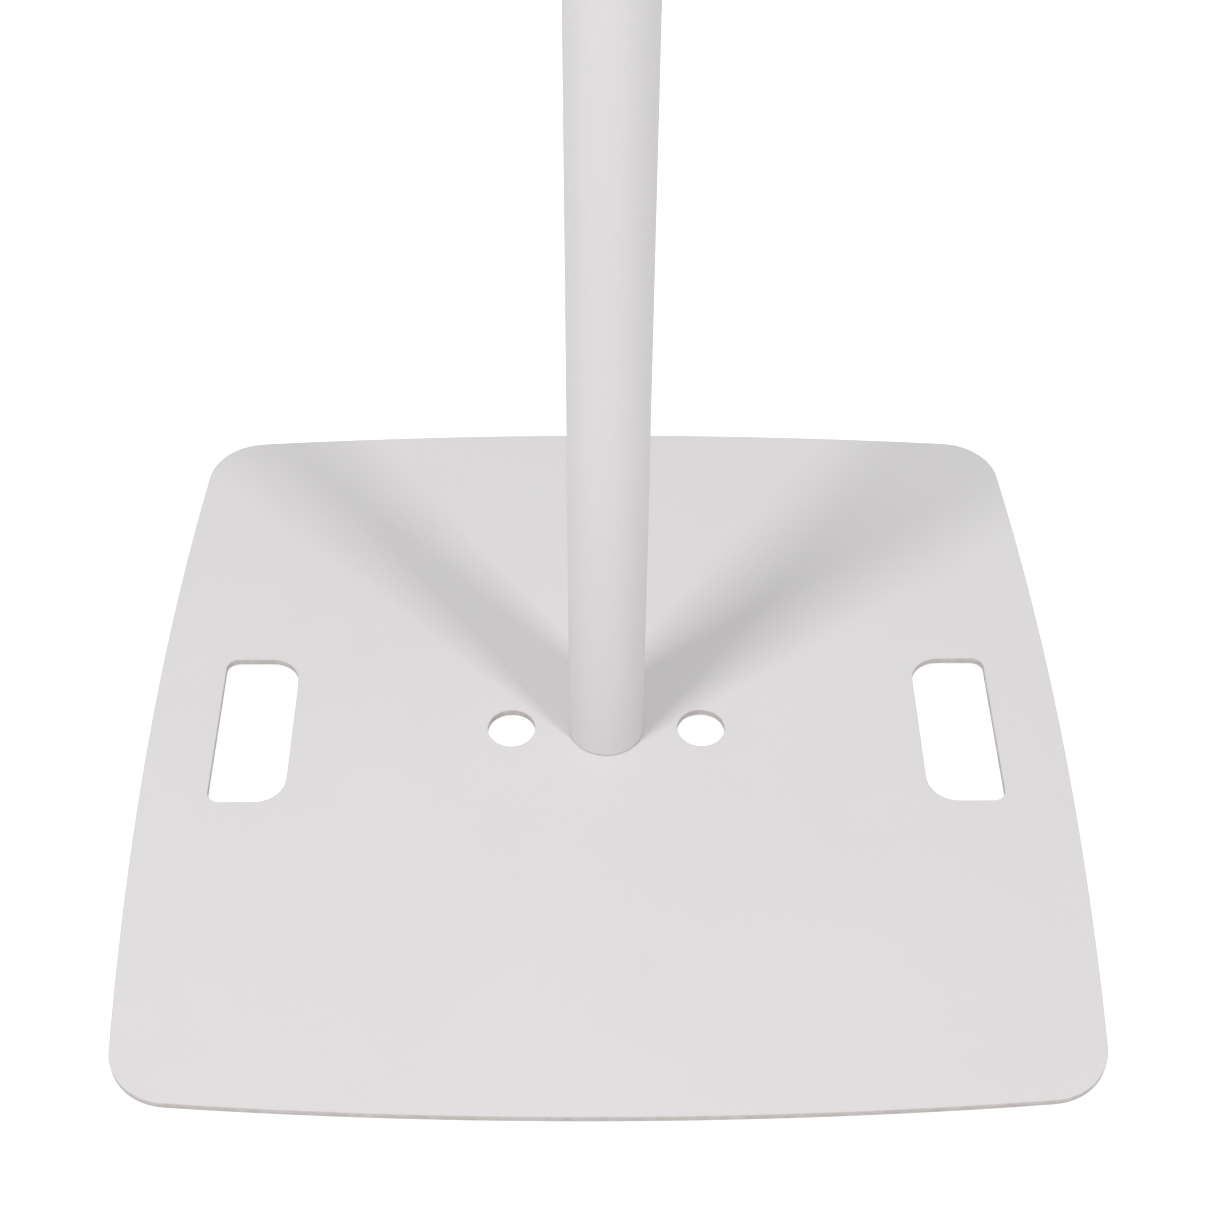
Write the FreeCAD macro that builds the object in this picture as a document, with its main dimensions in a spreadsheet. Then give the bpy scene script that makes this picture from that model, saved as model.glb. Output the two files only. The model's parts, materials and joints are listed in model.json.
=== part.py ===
"""Free-standing post on a steel floor plate, as a parametric FreeCAD document.

Millimetres, +Z up, +X to the right, +Y to the back. The origin is on the floor, on the
post's axis. The plate stands on rubber pads. A plug welded into the tube's foot stands on
the plate, and countersunk screws from below hold it there. The tube ends just above the
plate, which leaves a thin shadow gap round the post.
"""
import FreeCAD, Part
import Sketcher

import os

# Driving dimensions: name, millimetres (or a count), what it is.
SIZES = [
    ("PlateWidth", 620, "plate, overall, left to right"),
    ("PlateDepth", 600, "plate, overall, front to back"),
    ("SideBow", 13, "how far the middle of each side stands out beyond its corners"),
    ("CornerRadius", 40, "plate corners"),
    ("PlateThick", 5, "plate thickness"),
    ("EdgeBreak", 0.5, "rounding of the plate's outline and of the hand slots"),
    ("GripOffset", 239, "hand slot's middle, from the post's axis"),
    ("GripWidth", 51, "hand slot, left to right"),
    ("GripLength", 127, "hand slot, front to back"),
    ("GripInnerRadius", 20, "hand slot's corners towards the post"),
    ("GripOuterRadius", 8, "hand slot's corners towards the plate's edge"),
    ("CableHoleDia", 32, "the two round holes beside the post"),
    ("CableHoleSpacing", 129, "between the middles of those holes"),
    ("PostDia", 50, "post tube, outside"),
    ("PostWall", 2, "post tube's wall"),
    ("PostHeight", 1000, "floor to the top of the cap"),
    ("ShadowGap", 0.6, "between the plate and the tube's lower end"),
    ("PadHeight", 3, "rubber pad, floor to the plate's underside"),
    ("PadDia", 30, "rubber pad"),
    ("PadChamfer", 0.8, "chamfer of the pad's lower rim"),
    ("PadInset", 40, "corner pad's middle, from the side's line"),
    ("PadEdgeGap", 9, "side pad's rim, from the plate's edge"),
    ("PlugThick", 18, "foot plug"),
    ("PlugGap", 0.1, "clearance of the plug in the tube"),
    ("PlugChamfer", 2, "chamfer of the plug's rims, which the weld fills at the foot"),
    ("ScrewDia", 8, "thread, M8"),
    ("ScrewHeadDia", 16, "countersunk head"),
    ("ScrewReach", 20, "overall length of a screw"),
    ("ScrewHexWide", 5, "hexagon socket, across flats"),
    ("ScrewHexDeep", 3, "hexagon socket"),
    ("ScrewCount", 4, "number of screws"),
    ("ScrewCircle", 30, "pitch circle of the screws"),
    ("ScrewGap", 0.4, "clearance round a screw in the plate"),
    ("ThreadGap", 0.05, "clearance round a screw in the plug"),
    ("CapRim", 3, "cap's rim, above the tube"),
    ("CapRimRound", 1.2, "rounding of the cap's rim"),
    ("CapDepth", 20, "cap's skirt, inside the tube"),
    ("CapWall", 2, "cap's skirt"),
    ("CapGap", 0.25, "clearance of the cap's fins in the tube"),
    ("CapFinReach", 1.5, "how far the fins stand out of the skirt"),
    ("CapFinThick", 1.2, "thickness of a fin"),
    ("CapFinCount", 3, "number of fins"),
]

FULL_TURN = 360  # degrees
SAME_LENGTH = 1e-4  # millimetres

doc = FreeCAD.newDocument("PostStand")
sheet = doc.addObject("Spreadsheet::Sheet", "Sizes")
for row, (name, value, note) in enumerate(SIZES, start=1):
    sheet.set(f"A{row}", name)
    sheet.set(f"B{row}", str(value))
    sheet.setAlias(f"B{row}", name)
    sheet.set(f"C{row}", note)
doc.recompute()

SUB_PARTS = []


def value_of(expression):
    """The number that an expression over the sheet's cells gives now."""
    result = sheet.evalExpression(expression)
    return float(getattr(result, "Value", result))


def new_body(label, x="0", y="0", z="0"):
    """A body for one sub-part, placed by three expressions."""
    body = doc.addObject("PartDesign::Body", label)
    body.Label = label
    for axis, expression in (("x", x), ("y", y), ("z", z)):
        if expression != "0":
            body.setExpression(f"Placement.Base.{axis}", expression)
    SUB_PARTS.append(body)
    return body


def origin_feature(body, role):
    """A body's own origin plane or axis, by its role."""
    return next(item for item in body.Origin.OriginFeatures if item.Role == role)


def new_sketch(body, name, plane="XY_Plane"):
    """A sketch on one of the body's own origin planes."""
    sketch = body.newObject("Sketcher::SketchObject", name)
    sketch.AttachmentSupport = (origin_feature(body, plane), [""])
    sketch.MapMode = "FlatFace"
    return sketch


def bind(sketch, constraint, expression):
    """Add a dimension whose value is an expression over the sheet."""
    index = sketch.addConstraint(constraint)
    sketch.setExpression(f"Constraints[{index}]", expression)


def fix_point(sketch, geometry, point, x, y):
    """Pin one point of a sketch at two expressions, measured from the sketch's origin."""
    for kind, axis, expression in (("DistanceX", -2, x), ("DistanceY", -1, y)):
        if expression == "0":
            sketch.addConstraint(Sketcher.Constraint("PointOnObject", geometry, point, axis))
        else:
            number = value_of(expression)
            bind(sketch, Sketcher.Constraint(kind, -1, 1, geometry, point, number), expression)


def add_circle(sketch, diameter, x="0", y="0"):
    """A circle whose diameter and middle are expressions."""
    middle = FreeCAD.Vector(value_of(x), value_of(y), 0)
    circle = Part.Circle(middle, FreeCAD.Vector(0, 0, 1), value_of(diameter) / 2)
    index = sketch.addGeometry(circle, False)
    bind(sketch, Sketcher.Constraint("Diameter", index, value_of(diameter)), diameter)
    fix_point(sketch, index, 3, x, y)


def add_outline(sketch, corners):
    """A closed outline of straight lines through corners given as pairs of expressions."""
    points = [FreeCAD.Vector(value_of(x), value_of(y), 0) for x, y in corners]
    count = len(points)
    first = sketch.GeometryCount
    for i in range(count):
        sketch.addGeometry(Part.LineSegment(points[i], points[(i + 1) % count]), False)
    for i in range(count):
        following = first + (i + 1) % count
        sketch.addConstraint(Sketcher.Constraint("Coincident", first + i, 2, following, 1))
        fix_point(sketch, first + i, 1, *corners[i])


def add_axis(sketch, x, top):
    """An upright construction line at the expression x, for a revolved feature's axis."""
    foot = FreeCAD.Vector(value_of(x), 0, 0)
    head = FreeCAD.Vector(value_of(x), value_of(top), 0)
    index = sketch.addGeometry(Part.LineSegment(foot, head), True)
    fix_point(sketch, index, 1, x, "0")
    fix_point(sketch, index, 2, x, top)


def pad(body, sketch, name, length):
    """Pad a sketch upwards by an expression."""
    feature = body.newObject("PartDesign::Pad", name)
    feature.Profile = sketch
    feature.setExpression("Length", length)
    return feature


def pocket_up(body, sketch, name, depth=None):
    """Cut a sketch upwards, to an expression's depth or right through."""
    feature = body.newObject("PartDesign::Pocket", name)
    feature.Profile = sketch
    feature.Reversed = True
    if depth is None:
        feature.Type = "ThroughAll"
    else:
        feature.setExpression("Length", depth)
    return feature


def revolve(body, sketch, name, kind="PartDesign::Revolution", axis="V_Axis"):
    """Revolve a sketch right round its own vertical axis or its first construction line."""
    feature = body.newObject(kind, name)
    feature.Profile = sketch
    feature.ReferenceAxis = (sketch, [axis])
    feature.Angle = FULL_TURN
    return feature


def around_post(body, originals, name, count):
    """Repeat features evenly about the post's axis."""
    feature = body.newObject("PartDesign::PolarPattern", name)
    feature.Originals = originals
    feature.Axis = (origin_feature(body, "Z_Axis"), [""])
    feature.Angle = FULL_TURN
    feature.setExpression("Occurrences", count)
    body.Tip = feature
    return feature


def dress(body, kind, name, base, edges, size_property, size):
    """Round or chamfer the named edges of a feature by an expression."""
    feature = body.newObject(kind, name)
    feature.Base = (base, edges)
    feature.setExpression(size_property, size)
    body.Tip = feature
    return feature


def edges_where(feature, test):
    """Names of a feature's edges that pass a test on their bounding box."""
    doc.recompute()
    edges = feature.Shape.Edges
    return [f"Edge{i}" for i, edge in enumerate(edges, start=1) if test(edge.BoundBox)]


def near(a, b):
    """Whether two lengths are the same, but for the modeller's rounding."""
    return abs(a - b) < SAME_LENGTH


def upright_at(x, abs_y):
    """A test for upright edges at x, on either side of the middle line."""
    def test(box):
        upright = near(box.XLength, 0) and near(box.YLength, 0)
        return upright and near(box.XMin, x) and near(abs(box.YMin), abs_y)
    return test


def base_plate():
    """Floor plate: bowed sides, round corners, hand slots, cable and screw holes."""
    body = new_body("base_plate", z="Sizes.PadHeight")
    corner_x = "(Sizes.PlateWidth / 2 - Sizes.SideBow)"
    corner_y = "(Sizes.PlateDepth / 2 - Sizes.SideBow)"
    x, y, bow = value_of(corner_x), value_of(corner_y), value_of("Sizes.SideBow")
    corners = [(x, y), (-x, y), (-x, -y), (x, -y)]
    sketch = new_sketch(body, "plate_outline")
    for i, (x1, y1) in enumerate(corners):
        x2, y2 = corners[(i + 1) % 4]
        reach = 1 + bow / max(abs(x1 + x2) / 2, abs(y1 + y2) / 2)
        middle = FreeCAD.Vector((x1 + x2) / 2 * reach, (y1 + y2) / 2 * reach, 0)
        start, end = FreeCAD.Vector(x1, y1, 0), FreeCAD.Vector(x2, y2, 0)
        sketch.addGeometry(Part.Arc(start, middle, end), False)
    for i in range(4):
        sketch.addConstraint(Sketcher.Constraint("Coincident", i, 2, (i + 1) % 4, 1))
    fix_point(sketch, 0, 1, corner_x, corner_y)
    for i, mirror_axis in ((1, -2), (3, -1)):
        sketch.addConstraint(Sketcher.Constraint("Symmetric", 0, 1, i, 1, mirror_axis))
    sketch.addConstraint(Sketcher.Constraint("Symmetric", 0, 1, 2, 1, -1, 1))
    for i, half_chord in enumerate((corner_x, corner_y, corner_x, corner_y)):
        radius = f"({half_chord} ^ 2 + Sizes.SideBow ^ 2) / (2 * Sizes.SideBow)"
        bind(sketch, Sketcher.Constraint("Radius", i, value_of(radius)), radius)
    slab = pad(body, sketch, "slab", "Sizes.PlateThick")

    corner_edges = edges_where(slab, upright_at(x, y)) + edges_where(slab, upright_at(-x, y))
    rounded = dress(body, "PartDesign::Fillet", "round_corners", slab, corner_edges,
                    "Radius", "Sizes.CornerRadius")

    inner = "(Sizes.GripOffset - Sizes.GripWidth / 2)"
    outer = "(Sizes.GripOffset + Sizes.GripWidth / 2)"
    half = "(Sizes.GripLength / 2)"
    sketch = new_sketch(body, "grip_outline")
    grip = [(inner, f"-{half}"), (outer, f"-{half}"), (outer, half), (inner, half)]
    add_outline(sketch, grip)
    slot = pocket_up(body, sketch, "grip_slot")
    both = body.newObject("PartDesign::Mirrored", "both_grips")
    both.Originals = [slot]
    both.MirrorPlane = (origin_feature(body, "YZ_Plane"), [""])
    body.Tip = both
    latest = both
    for name, side, radius in (("inner", inner, "Sizes.GripInnerRadius"),
                               ("outer", outer, "Sizes.GripOuterRadius")):
        at, half_length = value_of(side), value_of(half)
        edges = []
        for sign in (1, -1):
            edges += edges_where(latest, upright_at(sign * at, half_length))
        latest = dress(body, "PartDesign::Fillet", f"grip_{name}_corners", latest, edges,
                       "Radius", radius)

    faces = (0, value_of("Sizes.PlateThick"))
    rims = edges_where(latest, lambda box: near(box.ZLength, 0)
                       and any(near(box.ZMin, level) for level in faces))
    dress(body, "PartDesign::Fillet", "broken_edges", latest, rims, "Radius", "Sizes.EdgeBreak")

    sketch = new_sketch(body, "cable_hole_outline")
    for side in ("", "-"):
        add_circle(sketch, "Sizes.CableHoleDia", x=f"{side}Sizes.CableHoleSpacing / 2")
    pocket_up(body, sketch, "cable_holes")

    axis = "Sizes.ScrewCircle / 2"
    head = "Sizes.ScrewHeadDia / 2 + Sizes.ScrewGap"
    shank = "Sizes.ScrewDia / 2 + Sizes.ScrewGap"
    sketch = new_sketch(body, "countersink_section", "XZ_Plane")
    add_axis(sketch, axis, "Sizes.PlateThick")
    add_outline(sketch, [
        (axis, "0"),
        (f"{axis} + {head}", "0"),
        (f"{axis} + {shank}", "Sizes.ScrewHeadDia / 2 - Sizes.ScrewDia / 2"),
        (f"{axis} + {shank}", "Sizes.PlateThick"),
        (axis, "Sizes.PlateThick"),
    ])
    hole = revolve(body, sketch, "countersink", "PartDesign::Groove", "Axis0")
    around_post(body, [hole], "countersinks", "Sizes.ScrewCount")


def post_tube():
    """Post: a plain round tube that ends a shadow gap above the plate."""
    foot = "Sizes.PadHeight + Sizes.PlateThick + Sizes.ShadowGap"
    body = new_body("post_tube", z=foot)
    sketch = new_sketch(body, "tube_section")
    add_circle(sketch, "Sizes.PostDia")
    add_circle(sketch, "Sizes.PostDia - 2 * Sizes.PostWall")
    pad(body, sketch, "tube", f"Sizes.PostHeight - Sizes.CapRim - ({foot})")


def foot_plug():
    """Plug in the tube's foot that stands on the plate, with threaded holes."""
    body = new_body("foot_plug", z="Sizes.PadHeight + Sizes.PlateThick")
    sketch = new_sketch(body, "plug_outline")
    add_circle(sketch, "Sizes.PostDia - 2 * Sizes.PostWall - 2 * Sizes.PlugGap")
    block = pad(body, sketch, "plug", "Sizes.PlugThick")
    rims = edges_where(block, lambda box: near(box.ZLength, 0))
    dress(body, "PartDesign::Chamfer", "plug_rims", block, rims, "Size", "Sizes.PlugChamfer")
    sketch = new_sketch(body, "thread_outline")
    add_circle(sketch, "Sizes.ScrewDia + 2 * Sizes.ThreadGap", x="Sizes.ScrewCircle / 2")
    hole = pocket_up(body, sketch, "threaded_hole")
    around_post(body, [hole], "threaded_holes", "Sizes.ScrewCount")


def plug_weld():
    """Weld round the plug's foot: it fills the chamfer up to the tube's lower end."""
    body = new_body("plug_weld", z="Sizes.PadHeight + Sizes.PlateThick")
    tube_bore = "(Sizes.PostDia / 2 - Sizes.PostWall)"
    leg = "(Sizes.PlugChamfer + Sizes.PlugGap - Sizes.ShadowGap)"
    sketch = new_sketch(body, "weld_section", "XZ_Plane")
    add_outline(sketch, [
        (f"{tube_bore} - {leg}", "Sizes.ShadowGap"),
        (tube_bore, "Sizes.ShadowGap"),
        (tube_bore, f"Sizes.ShadowGap + {leg}"),
    ])
    revolve(body, sketch, "weld")


def post_screws():
    """Countersunk screws, heads flush with the plate's underside."""
    body = new_body("post_screws", z="Sizes.PadHeight")
    body.AllowCompound = True
    axis = "Sizes.ScrewCircle / 2"
    sketch = new_sketch(body, "screw_section", "XZ_Plane")
    add_axis(sketch, axis, "Sizes.ScrewReach")
    add_outline(sketch, [
        (axis, "0"),
        (f"{axis} + Sizes.ScrewHeadDia / 2", "0"),
        (f"{axis} + Sizes.ScrewDia / 2", "Sizes.ScrewHeadDia / 2 - Sizes.ScrewDia / 2"),
        (f"{axis} + Sizes.ScrewDia / 2", "Sizes.ScrewReach"),
        (axis, "Sizes.ScrewReach"),
    ])
    screw = revolve(body, sketch, "screw", axis="Axis0")
    sketch = new_sketch(body, "socket_outline")
    side = "Sizes.ScrewHexWide / sqrt(3)"
    flat = "Sizes.ScrewHexWide / 2"
    add_outline(sketch, [
        (f"{axis} + {side}", "0"),
        (f"{axis} + {side} / 2", flat),
        (f"{axis} - {side} / 2", flat),
        (f"{axis} - {side}", "0"),
        (f"{axis} - {side} / 2", f"-{flat}"),
        (f"{axis} + {side} / 2", f"-{flat}"),
    ])
    socket = pocket_up(body, sketch, "socket", "Sizes.ScrewHexDeep")
    around_post(body, [screw, socket], "screws", "Sizes.ScrewCount")


def post_cap():
    """Plug that closes the post's top: a rim, a hollow skirt and thin fins round it."""
    body = new_body("post_cap", z="Sizes.PostHeight - Sizes.CapRim - Sizes.CapDepth")
    fin_tip = "(Sizes.PostDia / 2 - Sizes.PostWall - Sizes.CapGap)"
    skirt = f"({fin_tip} - Sizes.CapFinReach)"
    bore = f"({skirt} - Sizes.CapWall)"
    pitch = "(Sizes.CapDepth / Sizes.CapFinCount)"
    outline = [(bore, "Sizes.CapDepth"), (bore, "0")]
    for i in range(int(value_of("Sizes.CapFinCount"))):
        low = f"{pitch} * {i} + Sizes.CapFinThick"
        high = f"{pitch} * {i} + 2 * Sizes.CapFinThick"
        if i == 0:
            outline.append((skirt, "0"))
        outline += [(skirt, low), (fin_tip, low), (fin_tip, high), (skirt, high)]
    outline += [
        (skirt, "Sizes.CapDepth"),
        ("Sizes.PostDia / 2", "Sizes.CapDepth"),
        ("Sizes.PostDia / 2", "Sizes.CapDepth + Sizes.CapRim"),
        ("0", "Sizes.CapDepth + Sizes.CapRim"),
        ("0", "Sizes.CapDepth"),
    ]
    sketch = new_sketch(body, "cap_section", "XZ_Plane")
    add_outline(sketch, outline)
    turned = revolve(body, sketch, "cap")
    top = value_of("Sizes.CapDepth + Sizes.CapRim")
    rim = edges_where(turned, lambda box: near(box.ZMin, top) and near(box.ZLength, 0))
    dress(body, "PartDesign::Fillet", "round_rim", turned, rim, "Radius", "Sizes.CapRimRound")


def floor_pads():
    """Rubber pads: one in each corner and one at the middle of each side."""
    corner_x = "(Sizes.PlateWidth / 2 - Sizes.SideBow - Sizes.PadInset)"
    corner_y = "(Sizes.PlateDepth / 2 - Sizes.SideBow - Sizes.PadInset)"
    side_x = "(Sizes.PlateWidth / 2 - Sizes.PadEdgeGap - Sizes.PadDia / 2)"
    side_y = "(Sizes.PlateDepth / 2 - Sizes.PadEdgeGap - Sizes.PadDia / 2)"
    places = {
        "front_left": (f"-{corner_x}", f"-{corner_y}"),
        "front_middle": ("0", f"-{side_y}"),
        "front_right": (corner_x, f"-{corner_y}"),
        "middle_left": (f"-{side_x}", "0"),
        "middle_right": (side_x, "0"),
        "back_left": (f"-{corner_x}", corner_y),
        "back_middle": ("0", side_y),
        "back_right": (corner_x, corner_y),
    }
    for name, (x, y) in places.items():
        body = new_body(f"floor_pad_{name}", x=x, y=y)
        sketch = new_sketch(body, f"pad_outline_{name}")
        add_circle(sketch, "Sizes.PadDia")
        disc = pad(body, sketch, f"pad_{name}", "Sizes.PadHeight")
        lower = edges_where(disc, lambda box: near(box.ZMax, 0))
        dress(body, "PartDesign::Chamfer", f"pad_rim_{name}", disc, lower,
              "Size", "Sizes.PadChamfer")


def check_document():
    """Stop if any object failed, or if a sub-part's shape is missing or not valid."""
    doc.recompute()
    for item in doc.Objects:
        if "Invalid" in item.State or "Error" in item.State:
            raise RuntimeError(f"{item.Label} failed: {item.State}")
    for body in SUB_PARTS:
        if body.Shape.isNull() or not body.Shape.isValid():
            raise RuntimeError(f"{body.Label} has no valid shape")


def write_sub_parts():
    """One STEP file for each sub-part, named by its label."""
    os.makedirs("parts", exist_ok=True)
    for body in SUB_PARTS:
        body.Shape.exportStep(os.path.join("parts", f"{body.Label}.step"))
        print(f"{body.Label}: {len(body.Shape.Solids)} solid(s), {body.Shape.Volume:.1f} mm3")


base_plate()
post_tube()
foot_plug()
plug_weld()
post_screws()
post_cap()
floor_pads()
check_document()
write_sub_parts()
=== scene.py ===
"""Free-standing post on a steel floor plate: the finished pieces, their coats and the studio.

Laid out as an add-on: each piece or group of like pieces is made by an operator from the sizes
and colours in the scene's property groups, and main() calls them in order. All lengths are metres.
"""
import json
import math

import bpy
import numpy as np
from bpy.props import FloatProperty, FloatVectorProperty, IntProperty, PointerProperty
from mathutils import Euler, Matrix, Vector, geometry


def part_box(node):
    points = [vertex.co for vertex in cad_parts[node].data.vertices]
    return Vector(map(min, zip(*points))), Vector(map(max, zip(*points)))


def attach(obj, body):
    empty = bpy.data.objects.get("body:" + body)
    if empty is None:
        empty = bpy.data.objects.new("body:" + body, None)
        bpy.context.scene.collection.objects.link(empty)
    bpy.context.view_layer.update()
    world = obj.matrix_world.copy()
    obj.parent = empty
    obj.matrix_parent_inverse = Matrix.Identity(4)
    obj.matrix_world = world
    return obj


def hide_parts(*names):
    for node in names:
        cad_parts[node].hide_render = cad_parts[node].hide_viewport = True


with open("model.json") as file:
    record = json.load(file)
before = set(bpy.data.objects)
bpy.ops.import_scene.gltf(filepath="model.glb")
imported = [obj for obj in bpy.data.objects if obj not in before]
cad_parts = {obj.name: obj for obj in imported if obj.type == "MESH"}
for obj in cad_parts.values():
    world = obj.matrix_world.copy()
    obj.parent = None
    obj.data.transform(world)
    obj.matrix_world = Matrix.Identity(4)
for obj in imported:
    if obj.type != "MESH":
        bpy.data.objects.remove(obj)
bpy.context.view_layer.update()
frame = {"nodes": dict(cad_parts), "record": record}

bl_info = {
    "name": "Post on Floor Plate",
    "version": (1, 0, 0),
    "blender": (4, 5, 0),
    "location": "3D View > Sidebar > Post Stand",
    "description": "Builds a round post on a steel floor plate, with its coats and a plain studio",
    "category": "Add Mesh",
}

MM = 0.001
SLIGHT = 1e-6  # a length or a share that counts as nothing
BOX = {name: [np.array(corner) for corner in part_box(name)] for name in frame["nodes"]}
CABLE_HOLES = [mount for mount in frame["record"]["mounts"] if mount["kind"] == "bore"]
PAD_NODES = sorted(name for name in frame["nodes"] if name.startswith("floor_pad"))
PLATE_LOW, PLATE_HIGH = BOX["base_plate"]
TUBE_LOW, TUBE_HIGH = BOX["post_tube"]
CAP_LOW, CAP_HIGH = BOX["post_cap"]
PLUG_LOW, PLUG_HIGH = BOX["foot_plug"]
WELD_LOW, WELD_HIGH = BOX["plug_weld"]
SCREW_LOW, SCREW_HIGH = BOX["post_screws"]


# ---- the user's sizes and colours

def amount(name, description, default, **more):
    """A number that the user can change."""
    return FloatProperty(name=name, description=description, default=default, **more)


def length(name, description, millimetres):
    """A length that the user can change, given in millimetres and kept in metres."""
    return amount(name, description, millimetres * MM, unit="LENGTH", precision=5)


def degrees(name, description, turn):
    """An angle that the user can change, given in degrees and kept in radians."""
    return amount(name, description, math.radians(turn), subtype="ANGLE")


def how_many(name, description, default, least):
    """A whole number that the user can change."""
    return IntProperty(name=name, description=description, default=default, min=least)


def colour(name, description, red, green, blue):
    """A colour that the user can change, in linear light."""
    return FloatVectorProperty(name=name, description=description, subtype="COLOR", size=4,
                               min=0, max=1, default=(red, green, blue, 1))


class PostStandSizes(bpy.types.PropertyGroup):
    """Sizes that the plain nodes' boxes don't give."""
    side_bow: length("Side Bow", "How far a side's middle stands out beyond its corners", 13)
    corner_radius: length("Corner Radius", "Rounding of the plate's corners", 40)
    edge_round: length("Edge Round", "Rounding of the plate's outline and slots", 0.5)
    hole_round: length("Hole Round", "Rounding of the cable holes' rims", 0.35)
    grip_offset: length("Grip Offset", "Middle of a hand slot from the post's axis", 239)
    grip_width: length("Grip Width", "Hand slot, left to right", 51)
    grip_length: length("Grip Length", "Hand slot, front to back", 127)
    grip_inner: length("Inner Corners", "Slot corners on the post's side", 20)
    grip_outer: length("Outer Corners", "Slot corners on the plate's edge side", 8)
    tube_wall: length("Tube Wall", "Wall of the post tube", 2)
    tube_round: length("Tube Ends", "Rounding of the tube's cut ends", 0.25)
    seam_height: length("Seam Height", "How far the tube's inner weld seam stands in", 0.3)
    seam_width: length("Seam Width", "Half width of that seam", 1.5)
    seam_clear: length("Seam Reamed", "How far from each end the seam is reamed away", 30)
    plug_chamfer: length("Plug Chamfer", "Chamfer of the foot plug's rims", 2)
    ripple_height: length("Ripple Height", "How far the weld bead sags", 0.22)
    ripple_count: how_many("Ripples", "Ripples round the weld bead", 96, least=8)
    thread_pitch: length("Thread Pitch", "Screw thread, one turn", 1.25)
    thread_depth: length("Thread Depth", "Screw thread, crest to root", 0.68)
    screw_diameter: length("Screw Diameter", "Over the thread", 8)
    head_diameter: length("Head Diameter", "Countersunk head", 16)
    socket_width: length("Socket Width", "Hexagon socket, across flats", 5)
    socket_depth: length("Socket Depth", "Hexagon socket", 3)
    screw_gap: length("Screw Gap", "Clearance round a screw in the plate", 0.4)
    thread_gap: length("Thread Gap", "Clearance round a screw in the plug", 0.05)
    screw_count: how_many("Screws", "Screws under the post", 4, least=2)
    skirt_wall: length("Skirt Wall", "Wall of the cap's skirt", 2)
    fin_reach: length("Fin Reach", "How far a fin stands out of the cap's skirt", 1.5)
    fin_thick: length("Fin Thickness", "Thickness of a fin", 1.2)
    fin_count: how_many("Fins", "Fins round the cap's skirt", 3, least=1)
    cap_gap: length("Cap Gap", "Clearance of the fins in the tube", 0.25)
    cap_round: length("Cap Rim", "Rounding of the cap's rim", 1.2)
    cap_crown: length("Cap Crown", "How far the cap's top swells in the middle", 0.5)
    pad_chamfer: length("Pad Chamfer", "Lower rim of a floor pad", 0.8)
    groove_depth: length("Groove Depth", "Rings moulded in a pad's underside", 0.4)


class PostStandFinishes(bpy.types.PropertyGroup):
    """Colours of the finishes, in linear light."""
    coat: colour("Coat", "Matte powder coat", 0.77, 0.754, 0.763)
    # Partly a thin, warmer coat over a cut edge and partly painted shade: darkened to stand in for the
    # shade on the upright cut faces.
    edge_coat_and_shade: colour("Coat at Edges", "Thin coat over a cut edge", 0.52, 0.48, 0.455)
    steel: colour("Turned Steel", "Bare steel of the foot plug", 0.52, 0.51, 0.49)
    weld: colour("Weld", "Bead with its heat tint", 0.33, 0.30, 0.28)
    zinc: colour("Zinc", "Plating of the screws", 0.66, 0.68, 0.70)
    plastic: colour("Cap Plastic", "Moulded end cap", 0.72, 0.709, 0.703)
    rubber: colour("Rubber", "Floor pads", 0.028, 0.028, 0.03)
    floor: colour("Floor", "Pale studio floor", 0.9, 0.9, 0.9)
    floor_glow: colour("Floor Glow", "The floor's own light on the piece", 0.13, 0.13, 0.13)


class PostStandStudio(bpy.types.PropertyGroup):
    """Light and camera of the plain studio."""
    light_distance: amount("Light Distance", "Soft boxes to the post's foot", 6, unit="LENGTH")
    left_power: amount("Left Light", "Power of the left soft box", 120, unit="POWER")
    right_power: amount("Right Light", "Power of the right soft box", 77, unit="POWER")
    room_light: amount("Room Light", "Even light from all round", 0.487, min=0)
    backdrop: amount("Backdrop", "How bright the room looks to a camera", 1.0, min=0)
    lens: amount("Lens", "Focal length on a 36 mm sensor", 63.88, unit="CAMERA")
    camera_at: FloatVectorProperty(name="Camera", description="Where the camera stands",
                                   subtype="TRANSLATION", default=(-0.0125, -0.959, 1.1218))
    look_down: degrees("Look Down", "Camera's dip below the horizon", 46.06)
    look_right: degrees("Look Right", "Camera's turn to the right", 0.74)
    roll: degrees("Roll", "Camera's roll, anticlockwise", 0.44)


# ---- outlines

def arc(centre, radius, start, end, steps):
    """An arc and the directions out of it: centre + radius * (cos, sin) for evenly spaced angles."""
    angle = np.linspace(start, end, steps + 1)
    out = np.stack([np.cos(angle), np.sin(angle)], axis=1)
    return np.asarray(centre) + radius * out, out


def circle(centre, radius, count):
    """A closed circle, anticlockwise: an arc of a whole turn without its last point."""
    points, out = arc(centre, radius, 0, 2 * math.pi, count)
    return points[:-1], out[:-1]


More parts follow.
